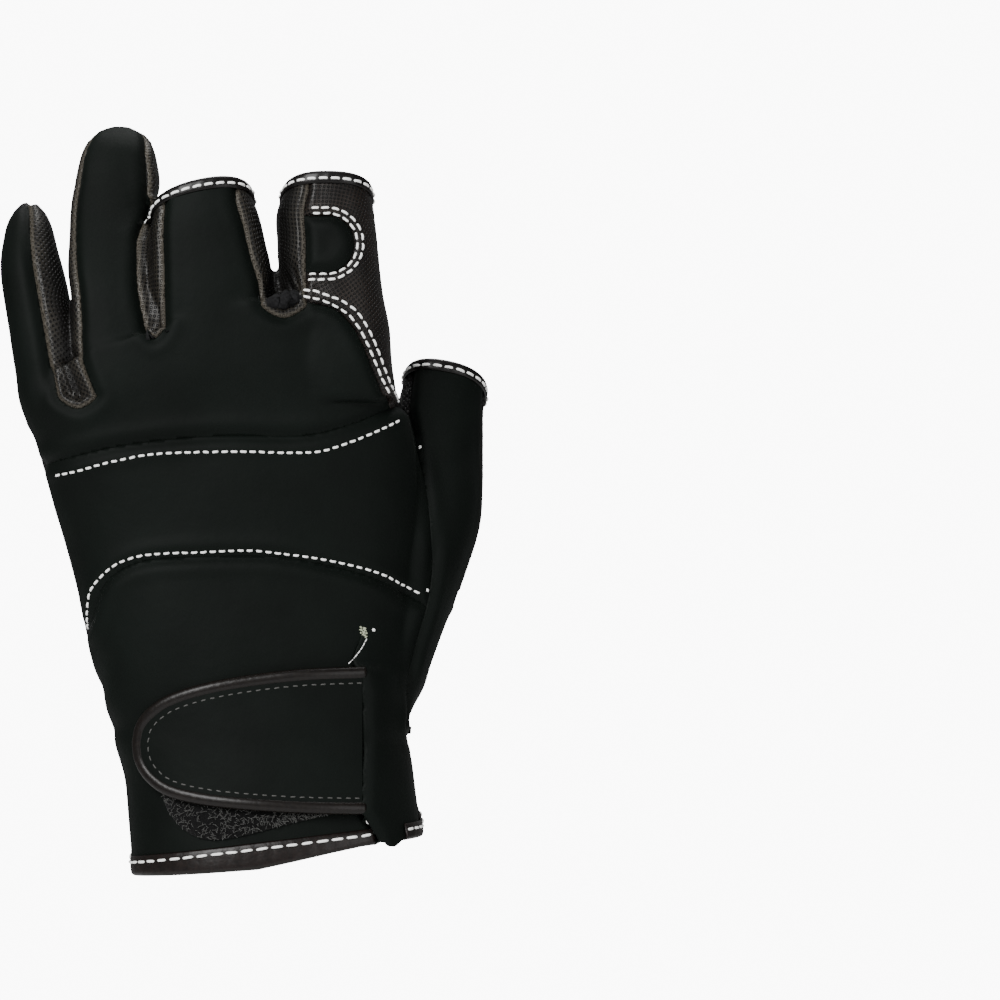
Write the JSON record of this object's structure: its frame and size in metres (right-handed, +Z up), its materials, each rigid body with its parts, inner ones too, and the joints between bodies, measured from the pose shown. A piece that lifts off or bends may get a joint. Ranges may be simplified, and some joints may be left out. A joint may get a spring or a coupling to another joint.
{
  "type": "fishing glove",
  "caption": "Left-hand neoprene fishing glove with punched leather palm, cut finger ends for thumb, index and middle finger, and a wrist strap.",
  "frame": {"origin": "middle of the wrist opening, where the hand goes in", "axes": "+Z up the fingers, +X to the thumb, the back of the hand faces -Y"},
  "size_m": [0.131, 0.0717, 0.2021],
  "materials": {
    "neoprene": "smooth jersey-faced neoprene, matte black",
    "punched_leather": "punched synthetic leather, charcoal",
    "binding": "glossy brown-black binding tape",
    "loop_patch": "fuzzy black loop tape"
  },
  "bodies": {
    "root": {"back_panel": "neoprene", "knuckle_band": "neoprene", "wrist_panel": "neoprene", "thumb_panel": "neoprene", "index_window": "neoprene", "strap_tab": "neoprene", "index_overlay": "punched_leather", "palm_panel": "punched_leather", "thenar_panel": "punched_leather", "gusset_pinky_ring": "punched_leather", "gusset_ring_middle": "punched_leather", "gusset_middle_index": "punched_leather", "middle_binding": "binding", "index_binding": "binding", "thumb_binding": "binding", "cuff_binding": "binding", "tab_binding": "binding", "loop_patch": "loop_patch"}
  },
  "joints": []
}
